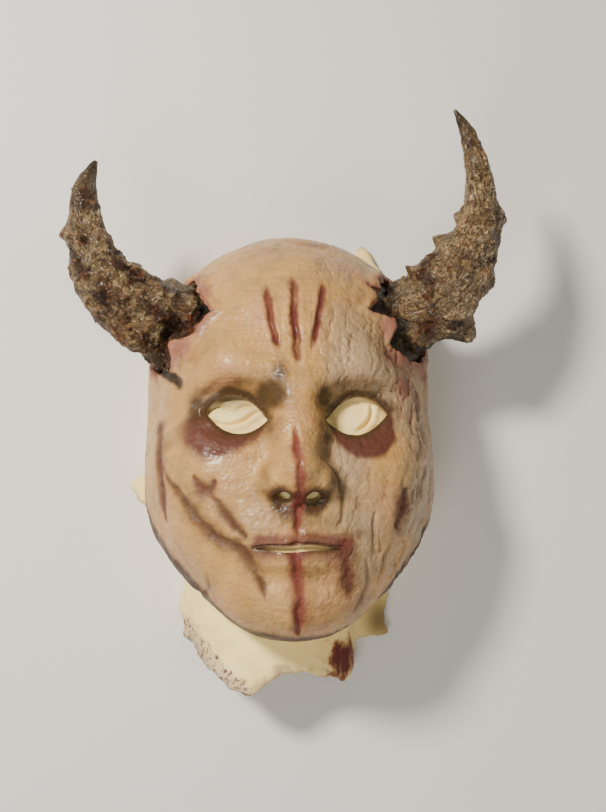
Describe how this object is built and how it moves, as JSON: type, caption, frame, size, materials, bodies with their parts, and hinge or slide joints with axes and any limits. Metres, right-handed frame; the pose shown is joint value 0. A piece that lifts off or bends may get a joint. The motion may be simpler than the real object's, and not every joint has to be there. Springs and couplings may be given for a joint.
{
  "type": "horned horror mask",
  "caption": "Painted latex horror mask with a calm face, open eyes and mouth, and curved horns tearing out through the temples, resting on a hollow plaster head form.",
  "frame": {"origin": "bottom centre of the whole object's bounding box, on the table that the plaster form's open back lies on", "axes": "+X to the viewer's right across the face, +Y to the crown, +Z out of the face"},
  "size_m": [0.2583, 0.3376, 0.1393],
  "materials": {
    "skin": "painted latex, tan with bruises, scars and a dark red stripe, waxy half gloss",
    "horn": "cast horn, dark brown with gold brown fibres, near black at the root and grey at the tip",
    "plaster": "creamy white plaster, smooth on the face, rough and stained at its torn edges"
  },
  "bodies": {
    "root": {"mask_skin": "skin", "horn_left": "horn", "horn_right": "horn", "plaster_form": "plaster"}
  },
  "joints": []
}
